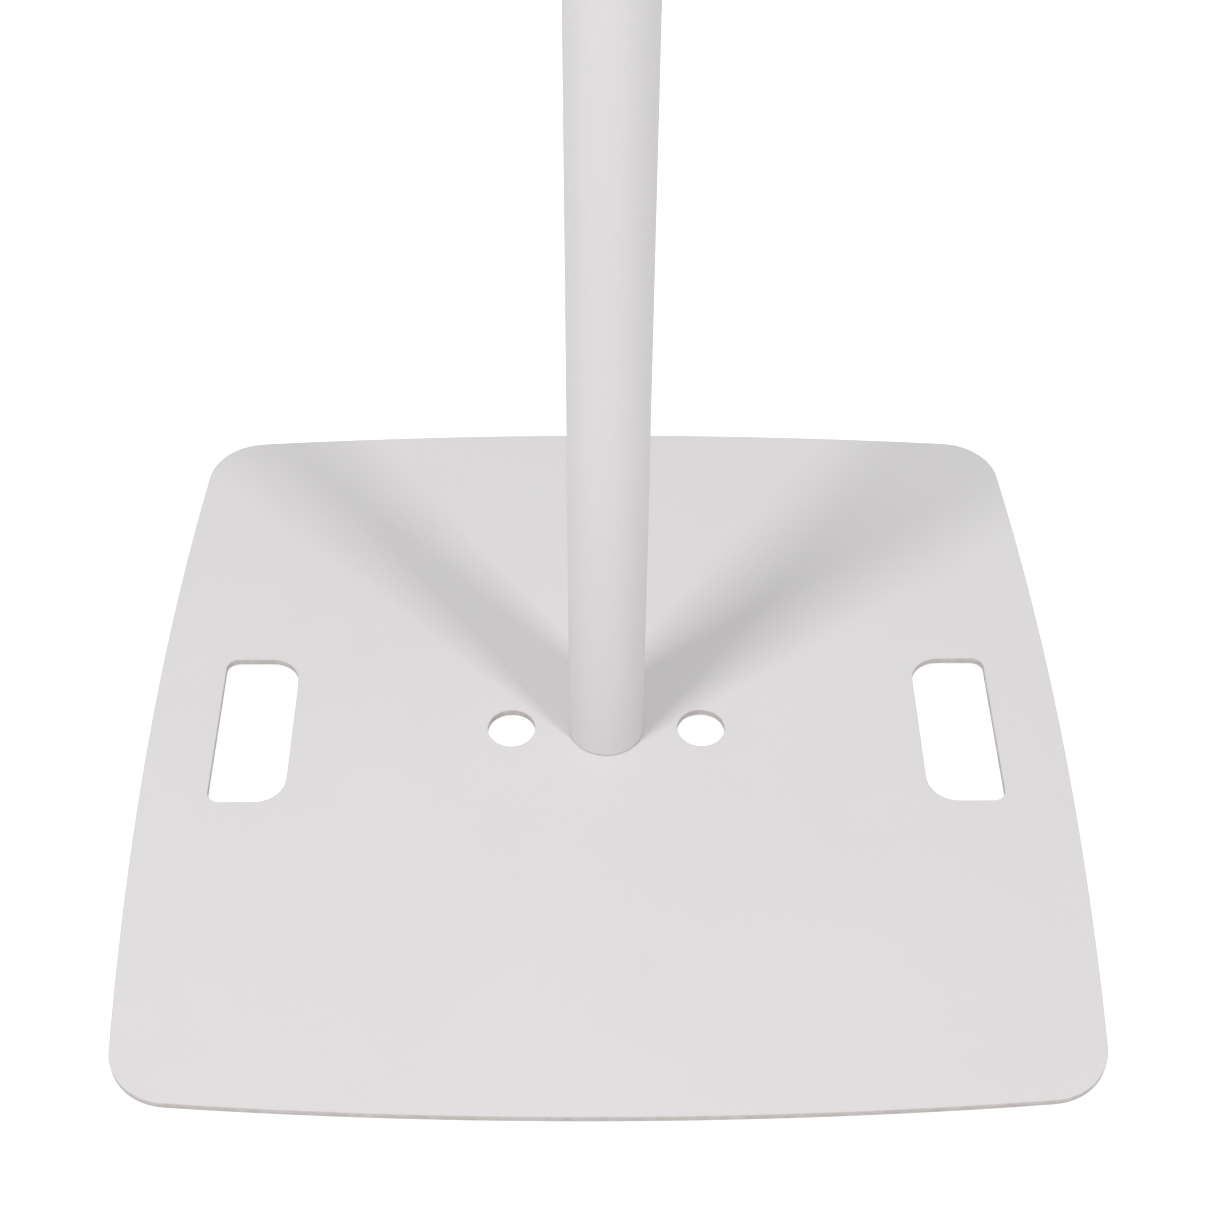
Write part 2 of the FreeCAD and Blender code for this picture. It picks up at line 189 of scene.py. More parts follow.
def bowed_outline(half_width, half_depth, bow, corner_radius, side_steps, corner_steps):
    """A closed rectangle with sides that bow outwards and round corners, anticlockwise.

    A side that rises by bow over a half chord c is an arc of radius (c^2 + bow^2) / (2 bow). The
    corner's circle touches both sides from within, so its middle is where two circles meet: about
    the sides' middles, with the sides' radii less the corner's. One quarter is mirrored to the
    other three."""
    half_chord = np.array([half_depth, half_width]) - bow
    radius = (half_chord ** 2 + bow ** 2) / (2 * bow)
    side_middle, rear_middle = np.diag(np.array([half_width, half_depth]) - radius)
    reach = radius - corner_radius
    between = rear_middle - side_middle
    apart = np.linalg.norm(between)
    along = (apart ** 2 + reach[0] ** 2 - reach[1] ** 2) / (2 * apart)
    aside = math.sqrt(reach[0] ** 2 - along ** 2)
    unit = between / apart
    corner = side_middle + along * unit + aside * np.array([-unit[1], unit[0]])
    side_end = math.atan2(*(corner - side_middle)[::-1])
    rear_start = math.atan2(*(corner - rear_middle)[::-1])
    runs = [arc(side_middle, radius[0], 0, side_end, side_steps),
            arc(corner, corner_radius, side_end, rear_start, corner_steps),
            arc(rear_middle, radius[1], rear_start, math.pi / 2, side_steps)]
    quarter = [np.concatenate([run[part][:-1] for run in runs] + [runs[-1][part][-1:]])
               for part in (0, 1)]
    result = []
    for rows in quarter:
        left, behind = rows * [-1, 1], rows * [1, -1]
        turns = [rows, left[::-1], -rows, behind[::-1]]
        result.append(np.concatenate([turn[:-1] for turn in turns]))
    return result


def rounded_outline(corners, radii, steps=4, closed=True):
    """An outline with round corners, anticlockwise round the material, and the directions out.

    Where the outline turns by an angle a, an arc of radius r touches both sides r tan(a / 2) from
    the corner, and its direction out swings from one side's to the other's. An open outline's
    two ends stay as they are."""
    corners = np.asarray(corners, dtype=float)
    radii = np.array(np.broadcast_to(radii, len(corners)), dtype=float)
    previous, following = np.roll(corners, 1, axis=0), np.roll(corners, -1, axis=0)
    if not closed:
        previous[0] = 2 * corners[0] - corners[1]
        following[-1] = 2 * corners[-1] - corners[-2]
        radii[[0, -1]] = 0
    points, normals = [], []
    for here, earlier, later, radius in zip(corners, previous, following, radii):
        before = (here - earlier) / np.linalg.norm(here - earlier)
        after = (later - here) / np.linalg.norm(later - here)
        turn = math.atan2(before[0] * after[1] - before[1] * after[0], before @ after)
        swing = np.linspace(0, turn, steps + 1) if radius > 0 else np.array([turn / 2])
        cos, sin = np.cos(swing), np.sin(swing)
        out = np.array([before[1], -before[0]])
        around = np.stack([out[0] * cos - out[1] * sin, out[0] * sin + out[1] * cos], axis=1)
        side = math.copysign(radius, turn)
        touch = here - before * radius * math.tan(abs(turn) / 2)
        points.append(touch - side * out + side * around)
        normals.append(around)
    return np.concatenate(points), np.concatenate(normals)


def divided(outline, longest, closed=True):
    """An outline whose sides longer than the longest allowed are cut into equal parts."""
    points, normals = outline
    step = np.roll(points, -1, axis=0) - points
    if not closed:
        step[-1] = 0
    parts = np.ceil(np.linalg.norm(step, axis=1) / longest * (1 - SLIGHT)).astype(int)
    parts = np.maximum(1, parts)
    which = np.repeat(np.arange(len(points)), parts)
    first = np.repeat(np.cumsum(parts) - parts, parts)
    along = ((np.arange(len(which)) - first) / parts[which])[:, None]
    normals = normals[which] * (1 - along) + np.roll(normals, -1, axis=0)[which] * along
    normals /= np.linalg.norm(normals, axis=1, keepdims=True)
    return points[which] + step[which] * along, normals


def edge_profile(low, high, radius, steps=4):
    """A plate's edge with both rims rounded, as rows of inset, height and the normal's two parts.

    Each rim is a quarter circle: inset = r (1 - cos t), height = end -+ r (1 - sin t)."""
    t = np.linspace(0, math.pi / 2, steps + 1)
    inset = radius * (1 - np.cos(t))
    from_end = radius * (1 - np.sin(t))
    lower = np.stack([inset, low + from_end, np.cos(t), -np.sin(t)], axis=1)
    upper = np.stack([inset, high - from_end, np.cos(t), np.sin(t)], axis=1)
    return np.concatenate([lower[::-1], upper])


def inside(spots, loop):
    """Which spots lie inside a closed loop: a line to their right crosses it an odd number of times."""
    start, end = loop, np.roll(loop, -1, axis=0)
    x, y = spots[:, :1], spots[:, 1:]
    spans = (start[:, 1] > y) != (end[:, 1] > y)
    rise = np.where(end[:, 1] == start[:, 1], 1, end[:, 1] - start[:, 1])
    crossing = start[:, 0] + (y - start[:, 1]) / rise * (end[:, 0] - start[:, 0])
    return (spans & (x < crossing)).sum(axis=1) % 2 == 1


# ---- surfaces

class Shell:
    """One piece's closed surface, gathered part by part as whole arrays of points and faces."""
    TRIANGLES_WITHIN = 1  # delaunay_2d_cdt's output type for triangles inside the outlines

    def __init__(self):
        self.points, self.normals, self.edge_marks, self.faces = [], [], [], []
        self.count = 0

    def add(self, points, normals, edge_mark=0.0):
        """Add points in an array of any shape, and return their numbers in the same shape."""
        shape = points.shape[:-1]
        number = np.arange(self.count, self.count + math.prod(shape)).reshape(shape)
        self.count += math.prod(shape)
        self.points.append(points.reshape(-1, 3))
        self.normals.append(np.broadcast_to(normals, points.shape).reshape(-1, 3))
        self.edge_marks.append(np.broadcast_to(edge_mark, shape).reshape(-1))
        return number

    def add_faces(self, faces, inward):
        """Add faces, wound the other way round where they point inwards."""
        self.faces.append(faces[:, ::-1] if inward else faces)

    def grid(self, number, wrap=False, inward=False):
        """Quads over a grid of numbers, rows up the profile and columns round the path.

        Columns close on themselves, and rows do when wrap is set."""
        lower = number if wrap else number[:-1]
        upper = np.roll(number, -1, axis=0) if wrap else number[1:]
        quads = [lower, np.roll(lower, -1, axis=1), np.roll(upper, -1, axis=1), upper]
        self.add_faces(np.stack(quads, axis=-1).reshape(-1, 4), inward)

    def close(self, ring, height, up, edge_mark=0.0):
        """Close an anticlockwise ring with a fan of triangles to a point in its middle."""
        middle = np.concatenate(self.points)[ring].mean(axis=0)
        pole = self.add(np.array([[middle[0], middle[1], height]]), [0, 0, up], edge_mark)
        fan = [np.broadcast_to(pole, ring.shape), ring, np.roll(ring, -1)]
        self.add_faces(np.stack(fan, axis=-1), up < 0)

    def carry(self, outline, profile, opening=False):
        """A profile carried along an outline: each point is the path's, less inset times out.

        In an opening the insets run the other way, which is into the material too. The edge
        mark is full on the upright wall and fades to nothing round the rims."""
        path, out = outline
        inset, height, across, up = (column[:, None, None] for column in profile.T)
        side = -1 if opening else 1
        level = np.ones((len(profile), len(path), 1))
        points = np.concatenate([path - side * inset * out, height * level], axis=-1)
        normals = np.concatenate([side * across * out, up * level], axis=-1)
        number = self.add(points, normals, np.broadcast_to(across[..., 0], level.shape[:2]))
        self.grid(number, inward=opening)
        return number

    def turn(self, section, count, shift=None, centre=(0, 0), closed=False, edge_mark=0.0):
        """A section of radius and height, turned about an upright axis: its points' numbers.

        shift(angle, radius, height) gives a new radius and height, and then each normal is the
        cross product of the surface's own two directions."""
        line, out = section
        angle = np.linspace(0, 2 * math.pi, count, endpoint=False)
        cos, sin = np.cos(angle), np.sin(angle)
        level = np.ones(count)
        radius, height = line[:, :1] * level, line[:, 1:] * level
        if shift is not None:
            radius, height = shift(angle, radius, height)
        points = np.stack([radius * cos, radius * sin, height], axis=-1)
        if shift is None:
            normals = np.stack([out[:, :1] * cos, out[:, :1] * sin, out[:, 1:] * level], axis=-1)
        else:
            around = np.roll(points, -1, axis=1) - np.roll(points, 1, axis=1)
            if closed:
                along = np.roll(points, -1, axis=0) - np.roll(points, 1, axis=0)
            else:
                along = np.gradient(points, axis=0)
            normals = np.cross(around, along)
        number = self.add(points + [*centre, 0], normals, edge_mark)
        self.grid(number, wrap=closed)
        return number

    def fill(self, rings, height, up, spacing):
        """A flat face from an outer ring to the rings of its openings, in even triangles.

        Spots on a grid keep the triangles even. None is nearer to a ring than half a spacing."""
        points = np.concatenate(self.points)
        loops = [points[ring][:, :2] for ring in rings]
        border = np.concatenate(loops)
        low, high = border.min(axis=0), border.max(axis=0)
        steps = [np.arange(low[i] + spacing / 2, high[i], spacing) for i in (0, 1)]
        spots = np.stack(np.meshgrid(*steps), axis=-1).reshape(-1, 2)
        keep = inside(spots, loops[0])
        for loop in loops[1:]:
            keep &= ~inside(spots, loop)
        spots = spots[keep]
        gaps = np.linalg.norm(spots[:, None] - border, axis=-1)
        spots = spots[(gaps > spacing / 2).all(axis=1)]
        number = self.add(np.insert(spots, 2, height, axis=1), [0, 0, up])
        start = np.cumsum([0] + [len(ring) for ring in rings])
        edges = [np.stack([np.arange(a, b), np.roll(np.arange(a, b), -1)], axis=1)
                 for a, b in zip(start[:-1], start[1:])]
        flat = np.concatenate([border, spots])
        result = geometry.delaunay_2d_cdt(
            [Vector(spot) for spot in flat.tolist()], np.concatenate(edges).tolist(), [],
            self.TRIANGLES_WITHIN, SLIGHT)
        triangles = np.array([sources[0] for sources in result[3]])[np.array(result[2])]
        middles = flat[triangles].mean(axis=1)
        keep = inside(middles, loops[0])
        for loop in loops[1:]:
            keep &= ~inside(middles, loop)
        self.add_faces(np.concatenate([*rings, number])[triangles[keep]], up < 0)

    def flats(self, walls, low, high, spacing):
        """The flat faces under and over walls whose rows run upwards, the outer wall first."""
        self.fill([wall[0] for wall in walls], low, -1, spacing)
        self.fill([wall[-1] for wall in walls], high, 1, spacing)

    def make(self, name, material):
        """The finished mesh object at the origin, with its normals and its edge marks."""
        mesh = bpy.data.meshes.new(name)
        faces = [face for group in self.faces for face in group.tolist()]
        mesh.from_pydata(np.concatenate(self.points).tolist(), [], faces)
        mesh.shade_smooth()
        normals = np.concatenate(self.normals)
        normals = normals / np.linalg.norm(normals, axis=1, keepdims=True)
        mesh.normals_split_custom_set_from_vertices(normals.tolist())
        mark = mesh.attributes.new("edge_mark", "FLOAT", "POINT")
        mark.data.foreach_set("value", np.concatenate(self.edge_marks).astype(np.float32))
        mesh.materials.append(material)
        if mesh.validate():
            raise RuntimeError(f"{name} has faces that don't hold")
        piece = bpy.data.objects.new(name, mesh)
        bpy.context.collection.objects.link(piece)
        return piece


# ---- finishes

class Tree:
    """Short calls for a node tree: each adds a node, sets its options and feeds its inputs."""

    def __init__(self, tree):
        self.tree = tree

    def add(self, kind, feeds=None, **options):
        """A new node with its options set and its inputs fed."""
        node = self.tree.nodes.new(kind)
        for option, value in options.items():
            setattr(node, option, value)
        for socket, value in (feeds or {}).items():
            self.feed(node.inputs[socket], value)
        return node

    def feed(self, socket, value):
        """Link an input to another node's output, or set its value."""
        if isinstance(value, bpy.types.NodeSocket):
            self.tree.links.new(value, socket)
        else:
            socket.default_value = value

    def maths(self, operation, *values):
        """One Math node's result."""
        return self.add("ShaderNodeMath", dict(enumerate(values)), operation=operation).outputs[0]

    def spread(self, value, low, high, to_low=0.0, to_high=1.0):
        """A value's range from low to high, stretched smoothly to another."""
        feeds = {"Value": value, "From Min": low, "From Max": high,
                 "To Min": to_low, "To Max": to_high}
        node = self.add("ShaderNodeMapRange", feeds, interpolation_type="SMOOTHSTEP")
        return node.outputs["Result"]

    def mix(self, factor, first, second):
        """A colour between two others."""
        feeds = {0: factor, 6: first, 7: second}
        return self.add("ShaderNodeMix", feeds, data_type="RGBA").outputs[2]

    def place(self):
        """The object's own coordinates."""
        return self.add("ShaderNodeTexCoord").outputs["Object"]

    def noise(self, scale, place=None, detail=2.0, roughness=0.5):
        """Soft noise from 0 to 1, on the object's own coordinates where no others are given."""
        feeds = {"Vector": place or self.place(), "Scale": scale, "Detail": detail,
                 "Roughness": roughness}
        return self.add("ShaderNodeTexNoise", feeds).outputs[0]

    def stretched(self, scale):
        """The object's coordinates, scaled by a different factor along each axis."""
        feeds = {"Vector": self.place(), "Scale": scale}
        return self.add("ShaderNodeMapping", feeds, vector_type="POINT").outputs[0]

    def bump(self, height, distance):
        """A normal from a height, where a height of 1 stands out by the distance."""
        return self.add("ShaderNodeBump", {"Height": height, "Distance": distance}).outputs[0]


def effect(name, inputs, outputs, build):
    """A node group made once: inputs and outputs by name, and the nodes between them."""
    if name in bpy.data.node_groups:
        return bpy.data.node_groups[name]
    group = bpy.data.node_groups.new(name, "ShaderNodeTree")
    for label, value in inputs.items():
        socket = group.interface.new_socket(label, in_out="INPUT", socket_type="NodeSocketFloat")
        socket.default_value = value
    for label in outputs:
        group.interface.new_socket(label, in_out="OUTPUT", socket_type="NodeSocketFloat")
    tree = Tree(group)
    given = tree.add("NodeGroupInput").outputs
    results = tree.add("NodeGroupOutput")
    for label, value in build(tree, given).items():
        tree.feed(results.inputs[label], value)
    return group


def surface_grain():
    """Relief of a coat or a moulded face: a soft peel with a finer grain on it, and slow patches."""
    def build(tree, given):
        peel = tree.noise(given["Peel Scale"], detail=1.0)
        grain = tree.noise(given["Grain Scale"], detail=2.0, roughness=0.6)
        height = tree.maths("MULTIPLY_ADD", grain, given["Grain Share"], peel)
        patches = tree.noise(given["Patch Scale"], detail=3.0)
        return {"Height": height, "Grain": grain, "Patches": tree.spread(patches, 0.3, 0.7)}
    inputs = {"Peel Scale": 400.0, "Grain Scale": 2500.0, "Grain Share": 0.3, "Patch Scale": 8.0}
    return effect("Surface Grain", inputs, ["Height", "Grain", "Patches"], build)


def edge_wear_and_shade_mask():
    """Where a cut edge or a crest shows through: the piece's edge marks, broken up by noise. On the
    coat this mask also lays painted shade on the upright cut faces.
    """
    def build(tree, given):
        mark = tree.add("ShaderNodeAttribute", attribute_name="edge_mark").outputs["Fac"]
        broken = tree.spread(tree.noise(given["Scale"], detail=4.0), 0.25, 0.75)
        kept = tree.maths("SUBTRACT", 1.0, tree.maths("MULTIPLY", broken, given["Breakup"]))
        worn = tree.maths("MULTIPLY", tree.maths("MULTIPLY", mark, kept), given["Amount"])
        return {"Wear": worn, "Mark": mark}
    inputs = {"Scale": 150.0, "Breakup": 0.4, "Amount": 1.0}
    return effect("Edge Wear and Shade", inputs, ["Wear", "Mark"], build)


def settled_dust():
    """A thin film of dust on faces that look up, in soft patches."""
    def build(tree, given):
        normal = tree.add("ShaderNodeNewGeometry").outputs["Normal"]
        upward = tree.add("ShaderNodeSeparateXYZ", {0: normal}).outputs[2]
        lying = tree.spread(upward, 0.3, 0.95)
        patches = tree.spread(tree.noise(given["Scale"], detail=6.0, roughness=0.7), 0.35, 0.75)
        film = tree.maths("MULTIPLY", lying, patches)
        return {"Dust": tree.maths("MULTIPLY", film, given["Amount"])}
    return effect("Settled Dust", {"Scale": 14.0, "Amount": 0.1}, ["Dust"], build)


def finish(name, dress, **constants):
    """A material made once: a shader with its constants, whose other inputs dress() gives."""
    if name in bpy.data.materials:
        return bpy.data.materials[name]
    material = bpy.data.materials.new(name)
    material.use_nodes = True
    material.node_tree.nodes.clear()
    tree = Tree(material.node_tree)
    shader = tree.add("ShaderNodeBsdfPrincipled")
    for socket, value in constants.items():
        shader.inputs[socket.replace("_", " ")].default_value = value
    tree.add("ShaderNodeOutputMaterial", {"Surface": shader.outputs[0]})
    for socket, value in dress(tree, bpy.context.scene.post_stand_finishes).items():
        tree.feed(shader.inputs[socket], value)
    return material


def group_in(tree, group, feeds):
    """Place an effect in a material with its own values."""
    node = tree.add("ShaderNodeGroup", node_tree=group)
    for socket, value in feeds.items():
        tree.feed(node.inputs[socket], value)
    return node.outputs


def tint(base, red, green, blue):
    """A colour with each part multiplied."""
    return (base[0] * red, base[1] * green, base[2] * blue, 1)


def skin(tree, plain, shade, peel, grain, share, patch):
    """A grained skin: its grain, and its plain colour tinted to a shade in slow patches."""
    given = group_in(tree, surface_grain(), {
        "Peel Scale": peel, "Grain Scale": grain, "Grain Share": share, "Patch Scale": patch})
    return given, tree.mix(given["Patches"], tuple(plain), tint(plain, *shade))


def dress_coat(tree, colours):
    """Matte powder coat: orange peel, fine grain, specks and dust, and a cut edge drawn with fine
    upright cut lines. The cut edge's colour is partly a thin, warmer coat and partly painted shade of
    the upright faces, and it darkens further towards its foot as painted contact shade."""
    # thin is the cut edge's colour: a thin coat, partly painted shade of the upright faces.
    plain, thin = tuple(colours.coat), tuple(colours.edge_coat_and_shade)
    grain, body = skin(tree, plain, (0.985, 0.983, 0.984),
                       peel=330.0, grain=2600.0, share=0.35, patch=5.0)
    wear = group_in(tree, edge_wear_and_shade_mask(), {"Scale": 120.0, "Breakup": 0.35, "Amount": 0.85})
    dust = group_in(tree, settled_dust(), {"Scale": 9.0, "Amount": 0.12})
    specks = tree.spread(tree.noise(900.0, detail=1.0), 0.70, 0.78, 0.0, 0.10)
    body = tree.mix(specks, body, tint(plain, 0.7, 0.69, 0.68))
    body = tree.mix(dust["Dust"], body, tint(plain, 0.93, 0.91, 0.88))
    # Painted contact shade: the cut edge's colour darkens towards the plate's foot.
    rise = tree.add("ShaderNodeSeparateXYZ", {0: tree.place()}).outputs[2]
    foot_shade_ramp = tree.spread(rise, float(PLATE_LOW[2]), float(PLATE_HIGH[2]))
    shaded_edge_colour = tree.mix(foot_shade_ramp, tint(thin, 0.80, 0.79, 0.78), thin)
    smudges = tree.spread(tree.noise(11.0, detail=5.0, roughness=0.65), 0.35, 0.7, 0.52, 0.60)
    rough = tree.maths("MULTIPLY_ADD", dust["Dust"], 0.3, smudges)
    cut_lines = tree.noise(1.0, tree.stretched((1300.0, 1300.0, 60.0)), detail=1.0)
    cut = tree.maths("MULTIPLY", tree.maths("MULTIPLY", cut_lines, wear["Mark"]), 1.6)
    height = tree.maths("ADD", grain["Height"], cut)
    # The edge mask lays the cut edge's colour, with its painted shade, on the upright faces.
    return {"Base Color": tree.mix(wear["Wear"], body, shaded_edge_colour),
            "Roughness": tree.maths("MULTIPLY_ADD", grain["Grain"], 0.05, rough),
            "Normal": tree.bump(height, 0.02 * MM)}


def dress_steel(tree, colours):
    """Turned steel: fine rings about the post's axis, with a soft oily variation."""
    grain, body = skin(tree, colours.steel, (0.80, 0.79, 0.77),
                       peel=220.0, grain=3000.0, share=0.5, patch=60.0)
    wave = {"Vector": tree.place(), "Scale": 900.0, "Distortion": 0.4}
    rings = tree.add("ShaderNodeTexWave", wave, wave_type="RINGS", rings_direction="Z")
    height = tree.maths("MULTIPLY_ADD", grain["Height"], 0.3, rings.outputs["Fac"])
    return {"Base Color": body,
            "Roughness": tree.spread(grain["Grain"], 0.2, 0.8, 0.28, 0.42),
            "Normal": tree.bump(height, 0.012 * MM)}


def dress_weld(tree, colours):
    """A weld bead: dull grey steel with straw and blue heat tints and a scaly skin."""
    grain, straw = skin(tree, colours.weld, (1.35, 1.12, 0.75),
                        peel=500.0, grain=2200.0, share=0.6, patch=130.0)
    blue = tree.spread(tree.noise(210.0, detail=2.0), 0.55, 0.7)
    return {"Base Color": tree.mix(blue, straw, tint(colours.weld, 0.72, 0.82, 1.2)),
            "Roughness": tree.spread(grain["Grain"], 0.2, 0.8, 0.38, 0.6),
            "Normal": tree.bump(grain["Height"], 0.03 * MM)}


def dress_zinc(tree, colours):
    """Bright zinc plating: bluish silver with faint yellow clouds, duller in the sockets."""
    grain, clouds = skin(tree, colours.zinc, (1.0, 0.97, 0.88),
                         peel=700.0, grain=4000.0, share=0.4, patch=180.0)
    wear = group_in(tree, edge_wear_and_shade_mask(), {"Scale": 900.0, "Breakup": 0.6, "Amount": 0.6})
    rough = tree.spread(grain["Grain"], 0.2, 0.8, 0.22, 0.34)
    return {"Base Color": tree.mix(wear["Wear"], clouds, tint(colours.zinc, 0.7, 0.69, 0.68)),
            "Roughness": tree.maths("MULTIPLY_ADD", wear["Wear"], 0.2, rough),
            "Normal": tree.bump(grain["Height"], 0.008 * MM)}


def dress_plastic(tree, colours):
    """Moulded white plastic with a fine spark-eroded skin, rubbed smoother on its rim."""
    grain, body = skin(tree, colours.plastic, (0.98, 0.975, 0.965),
                       peel=1500.0, grain=3600.0, share=0.7, patch=40.0)
    wear = group_in(tree, edge_wear_and_shade_mask(), {"Scale": 300.0, "Breakup": 0.6, "Amount": 0.7})
    dust = group_in(tree, settled_dust(), {"Scale": 60.0, "Amount": 0.2})
    rough = tree.spread(grain["Grain"], 0.2, 0.8, 0.44, 0.56)
    rough = tree.maths("MULTIPLY_ADD", wear["Wear"], -0.12, rough)
    return {"Base Color": tree.mix(dust["Dust"], body, tint(colours.plastic, 0.9, 0.87, 0.82)),
            "Roughness": tree.maths("MULTIPLY_ADD", dust["Dust"], 0.4, rough),
            "Normal": tree.bump(grain["Height"], 0.02 * MM)}


def dress_rubber(tree, colours):
    """Black rubber: a dull grained skin, greyed where the rim and the tread have rubbed."""
    grain, body = skin(tree, colours.rubber, (1.7, 1.66, 1.6),
                       peel=900.0, grain=3200.0, share=0.8, patch=70.0)
    wear = group_in(tree, edge_wear_and_shade_mask(), {"Scale": 260.0, "Breakup": 0.7, "Amount": 0.6})
    return {"Base Color": tree.mix(wear["Wear"], body, tint(colours.rubber, 4.5, 4.3, 4)),
            "Roughness": tree.spread(grain["Grain"], 0.2, 0.8, 0.72, 0.9),
            "Normal": tree.bump(grain["Height"], 0.03 * MM)}


def dress_floor(tree, colours):
    """Pale matte floor with the faintest paper grain. It looks lit from below, as a light table
    does, and throws a small part of that light on the piece."""
    plain = tuple(colours.floor)
    fibres = tree.spread(tree.noise(260.0, detail=3.0), 0.3, 0.7)
    seen = tree.add("ShaderNodeLightPath").outputs["Is Camera Ray"]
    return {"Base Color": tree.mix(fibres, plain, tint(plain, 0.995, 0.995, 0.995)),
            "Roughness": tree.spread(fibres, 0.0, 1.0, 0.85, 0.95),
            "Emission Color": tree.mix(seen, tuple(colours.floor_glow), (1, 1, 1, 1))}


def coat():
    """The plate's and the post's coat."""
    return finish("powder_coat", dress_coat, IOR=1.47)


# ---- pieces

def settle(piece, body, slot, *nodes):
    """Fix a finished piece to its body in place of its plain nodes. The slot, the record's finish, is
    not used.
    """
    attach(piece, body)
    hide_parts(*nodes)


def screw_axes(sizes):
    """The screws' middles: evenly round a circle, a head's radius within the nodes' box."""
    return circle((0, 0), SCREW_HIGH[0] - sizes.head_diameter / 2, sizes.screw_count)[0]


class POST_STAND_OT_floor_plate(bpy.types.Operator):
    """Make the floor plate with its bowed sides, hand slots, cable holes and countersinks"""
    bl_idname = "post_stand.floor_plate"
    bl_label = "Floor Plate"
    bl_options = {"REGISTER", "UNDO"}

    def execute(self, context):
        sizes = context.scene.post_stand_sizes
        low, high = PLATE_LOW[2], PLATE_HIGH[2]
        shell = Shell()
        edge = edge_profile(low, high, sizes.edge_round)
        outline = bowed_outline(PLATE_HIGH[0], PLATE_HIGH[1], sizes.side_bow,
                                sizes.corner_radius, side_steps=36, corner_steps=20)
        walls = [shell.carry(outline, edge)]
        walls += [shell.carry(slot, edge, opening=True) for slot in self.grips(sizes)]
        rim = edge_profile(low, high, sizes.hole_round)
        for hole in CABLE_HOLES:
            round_hole = circle(hole["pos_m"][:2], hole["dims"]["r_mm"] * MM, count=80)
            walls.append(shell.carry(round_hole, rim, opening=True))
        head = sizes.head_diameter / 2 + sizes.screw_gap
        shank = sizes.screw_diameter / 2 + sizes.screw_gap
        lip, rounding = 0.5 * MM, 0.2 * MM
        cone = rounded_outline([(shank + lip, high), (shank, high), (shank, low + head - shank),
                                (head, low), (head + lip, low)], rounding, closed=False)
        walls += [shell.turn(cone, count=48, centre=axis)[::-1] for axis in screw_axes(sizes)]
        shell.flats(walls, low, high, spacing=14 * MM)
        settle(shell.make("floor_plate", coat()), "stand", "white_coat", "base_plate")
        return {"FINISHED"}

    def grips(self, sizes):
        """The two hand slots' outlines: the one on the left is the right one's mirror image."""
        across, along = sizes.grip_width / 2, sizes.grip_length / 2
        corners = np.array([(-across, -along), (across, -along), (across, along), (-across, along)])
        radii = [sizes.grip_inner, sizes.grip_outer, sizes.grip_outer, sizes.grip_inner]
        points, out = divided(rounded_outline(corners, radii, steps=14), longest=8 * MM)
        points = points + [sizes.grip_offset, 0]
        return (points, out), (points[::-1] * [-1, 1], out[::-1] * [-1, 1])


class POST_STAND_OT_post(bpy.types.Operator):
    """Make the post: a welded tube with deburred ends and a faint seam inside"""
    bl_idname = "post_stand.post"
    bl_label = "Post Tube"
    bl_options = {"REGISTER", "UNDO"}

    def execute(self, context):
        sizes = context.scene.post_stand_sizes
        outer, inner = TUBE_HIGH[0], TUBE_HIGH[0] - sizes.tube_wall
        low, high = TUBE_LOW[2], TUBE_HIGH[2]
        corners = [(inner, low), (outer, low), (outer, high), (inner, high)]
        section = divided(rounded_outline(corners, sizes.tube_round), longest=20 * MM)
        behind, end_mark = math.pi / 2, 0.6

        def seam(angle, radius, height):
            """A bead inside, clear of the reamed ends: its height falls off as a bell curve."""
            away = (angle - behind) * inner / sizes.seam_width
            clear = np.minimum(height - low, high - height) > sizes.seam_clear
            within = radius < inner + SLIGHT
            return radius - sizes.seam_height * np.exp(-away ** 2) * clear * within, height

        # The tube's cut ends take part of the cut edge's colour, which is partly painted shade.
        ends = np.minimum(section[0][:, 1:] - low, high - section[0][:, 1:]) < sizes.tube_round
        shell = Shell()
        shell.turn(section, count=240, shift=seam, closed=True, edge_mark=ends * end_mark)
        settle(shell.make("post", coat()), "stand", "white_coat", "post_tube")
        return {"FINISHED"}


class POST_STAND_OT_foot_plug(bpy.types.Operator):
    """Make the turned steel plug in the post's foot, with its chamfers and threaded holes"""
    bl_idname = "post_stand.foot_plug"
    bl_label = "Foot Plug"
    bl_options = {"REGISTER", "UNDO"}

    def execute(self, context):
        sizes = context.scene.post_stand_sizes
        low, high, rim, chamfer = PLUG_LOW[2], PLUG_HIGH[2], PLUG_HIGH[0], sizes.plug_chamfer
        shell = Shell()
        rounding = 0.3 * MM
        flat = rim - chamfer - rounding
        corners = [(flat, low), (rim - chamfer, low), (rim, low + chamfer),
                   (rim, high - chamfer), (rim - chamfer, high), (flat, high)]
        walls = [shell.turn(rounded_outline(corners, rounding, closed=False), count=160)]
        thread, lead = sizes.screw_diameter / 2 + sizes.thread_gap, 0.4 * MM
        lip = thread + 1.5 * lead
        corners = [(lip, high), (thread + lead, high), (thread, high - lead),
                   (thread, low + lead), (thread + lead, low), (lip, low)]
        hole = rounded_outline(corners, 0.1 * MM, closed=False)
        walls += [shell.turn(hole, count=40, centre=axis)[::-1] for axis in screw_axes(sizes)]
        shell.flats(walls, low, high, spacing=3 * MM)
        steel = finish("turned_steel", dress_steel, Metallic=1.0)
        settle(shell.make("plug", steel), "stand", "bare_steel", "foot_plug")
        return {"FINISHED"}


